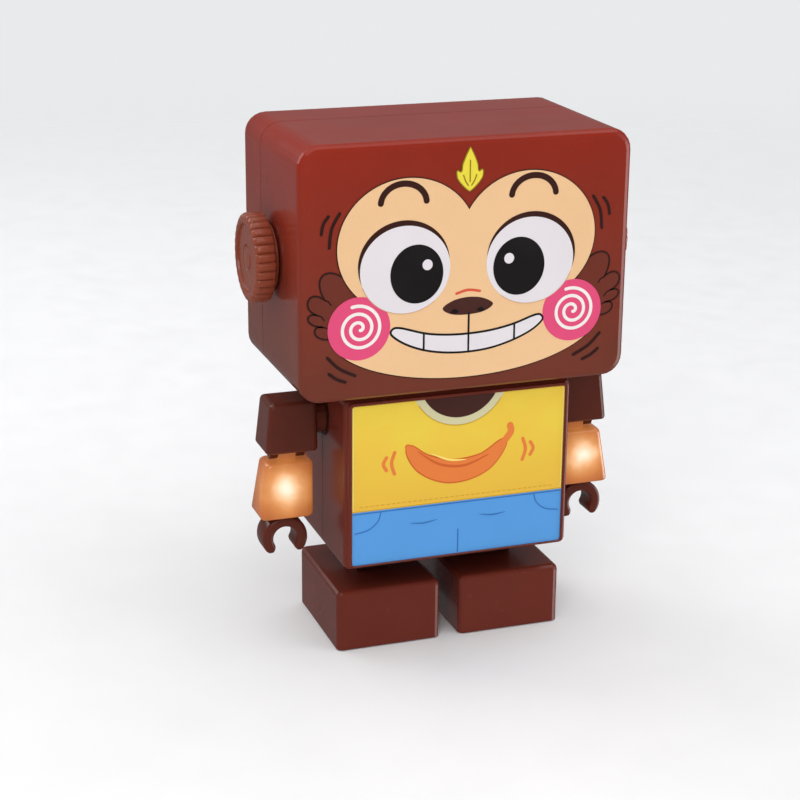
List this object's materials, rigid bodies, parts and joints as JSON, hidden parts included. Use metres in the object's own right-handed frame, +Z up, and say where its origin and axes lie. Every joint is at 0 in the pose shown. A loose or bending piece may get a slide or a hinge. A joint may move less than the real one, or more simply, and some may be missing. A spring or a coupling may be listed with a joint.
{
  "type": "dancing monkey robot toy",
  "caption": "Battery-driven dancing toy: a block-headed monkey robot that rocks on its feet and turns its head, with jointed lit arms and claw hands.",
  "frame": {"origin": "middle of the bounding box, on the plane the feet stand on", "axes": "+Z up, the face looks along -Y, and +X is on the viewer's right when the face is seen from in front"},
  "size_m": [0.111, 0.056, 0.15],
  "materials": {
    "brown_shell": "glossy reddish-brown moulded ABS",
    "dark_trim": "dark brown satin plastic",
    "ear_knob": "satin brown moulded plastic",
    "printed_face": "printed glossy sheet",
    "printed_shirt": "printed sheet, shirt over trousers",
    "amber_lens": "clear amber plastic, lit from inside",
    "steel": "zinc-plated steel",
    "black_plastic": "black moulded plastic",
    "nylon": "natural nylon",
    "cell_sleeve": "plain printed battery sleeve",
    "circuit_board": "green solder mask"
  },
  "bodies": {
    "base": {"left_foot_shell": "brown_shell", "left_foot_cover": "dark_trim", "left_foot_screw": "steel", "right_foot_shell": "brown_shell", "right_foot_cover": "dark_trim", "right_foot_screw": "steel", "leg_frame": "dark_trim"},
    "torso": {"torso_front_shell": "brown_shell", "torso_rear_shell": "brown_shell", "front_label": "printed_shirt", "hip_pin": "steel", "torso_screw_1": "steel", "torso_screw_2": "steel", "battery_tray": "black_plastic", "battery_cell_1": "cell_sleeve", "battery_cell_2": "cell_sleeve", "battery_cell_3": "cell_sleeve", "battery_contacts_left": "steel", "battery_contacts_right": "steel", "gear_plate_front": "nylon", "gear_plate_rear": "nylon", "gear_screw_1": "steel", "gear_screw_2": "steel", "motor": "steel", "main_board": "circuit_board", "switch_housing": "black_plastic"},
    "crank": {"crank_gear": "nylon"},
    "idler": {"idler_gear": "nylon"},
    "pinion": {"motor_pinion": "nylon"},
    "head": {"head_front_shell": "brown_shell", "head_rear_shell": "brown_shell", "face_label": "printed_face", "neck_tube": "dark_trim", "head_lever": "nylon", "speaker": "black_plastic", "head_screw_1": "steel", "head_screw_2": "steel", "head_screw_3": "steel", "head_screw_4": "steel"},
    "switch": {"switch_slider": "black_plastic"},
    "door": {"battery_door": "brown_shell", "battery_door_screw": "steel"},
    "left_ear": {"left_ear_knob": "ear_knob", "left_ear_clip": "steel"},
    "left_upper_arm": {"left_upper_arm": "brown_shell", "left_shoulder_clip": "steel", "left_elbow_pin": "steel"},
    "left_forearm": {"left_forearm_lens": "amber_lens", "left_led_board": "circuit_board", "left_wrist_plate": "brown_shell"},
    "left_claw": {"left_claw": "brown_shell"},
    "right_ear": {"right_ear_knob": "ear_knob", "right_ear_clip": "steel"},
    "right_upper_arm": {"right_upper_arm": "brown_shell", "right_shoulder_clip": "steel", "right_elbow_pin": "steel"},
    "right_forearm": {"right_forearm_lens": "amber_lens", "right_led_board": "circuit_board", "right_wrist_plate": "brown_shell"},
    "right_claw": {"right_claw": "brown_shell"}
  },
  "joints": [
    {"name": "body_sway", "type": "hinge", "parent": "base", "child": "torso", "pos_m": [0, 0, 0.031], "axis": [0, 1, 0], "range_deg": [-6, 6]},
    {"name": "head_turn", "type": "hinge", "parent": "torso", "child": "head", "pos_m": [0, -0.008, 0.079], "axis": [0, 0, 1], "range_deg": [-21, 21]},
    {"name": "crank_spin", "type": "hinge", "parent": "torso", "child": "crank", "pos_m": [0, -0.0074, 0.0515], "axis": [0, 1, 0], "continuous": true},
    {"name": "idler_spin", "type": "hinge", "parent": "torso", "child": "idler", "pos_m": [-0.00948, -0.0074, 0.04355], "axis": [0, 1, 0], "continuous": true},
    {"name": "motor_spin", "type": "hinge", "parent": "torso", "child": "pinion", "pos_m": [-0.02143, -0.0074, 0.04675], "axis": [0, 1, 0], "continuous": true},
    {"name": "switch_slide", "type": "slide", "parent": "torso", "child": "switch", "axis": [1, 0, 0], "range_m": [0, 0.003]},
    {"name": "battery_door_off", "type": "slide", "parent": "torso", "child": "door", "axis": [0, 1, 0], "range_m": [0, 0.02]},
    {"name": "left_ear_turn", "type": "hinge", "parent": "head", "child": "left_ear", "pos_m": [-0.048, 0, 0.1145], "axis": [1, 0, 0], "continuous": true},
    {"name": "left_shoulder", "type": "hinge", "parent": "torso", "child": "left_upper_arm", "pos_m": [-0.034, -0.002, 0.0675], "axis": [-1, 0, 0], "range_deg": [-60, 60]},
    {"name": "left_elbow", "type": "hinge", "parent": "left_upper_arm", "child": "left_forearm", "pos_m": [-0.045, -0.002, 0.0574], "axis": [-1, 0, 0], "range_deg": [0, 35]},
    {"name": "left_wrist", "type": "hinge", "parent": "left_forearm", "child": "left_claw", "pos_m": [-0.0464, -0.002, 0.0387], "axis": [0, 0, 1], "continuous": true},
    {"name": "right_ear_turn", "type": "hinge", "parent": "head", "child": "right_ear", "pos_m": [0.048, 0, 0.1145], "axis": [1, 0, 0], "continuous": true},
    {"name": "right_shoulder", "type": "hinge", "parent": "torso", "child": "right_upper_arm", "pos_m": [0.034, -0.002, 0.0675], "axis": [-1, 0, 0], "range_deg": [-60, 60]},
    {"name": "right_elbow", "type": "hinge", "parent": "right_upper_arm", "child": "right_forearm", "pos_m": [0.045, -0.002, 0.0574], "axis": [-1, 0, 0], "range_deg": [0, 35]},
    {"name": "right_wrist", "type": "hinge", "parent": "right_forearm", "child": "right_claw", "pos_m": [0.0464, -0.002, 0.0387], "axis": [0, 0, 1], "continuous": true}
  ],
  "couplings": [
    {"joint": "head_turn", "follows": "body_sway", "ratio": 3.5},
    {"joint": "idler_spin", "follows": "crank_spin", "ratio": -4},
    {"joint": "motor_spin", "follows": "crank_spin", "ratio": 16}
  ]
}
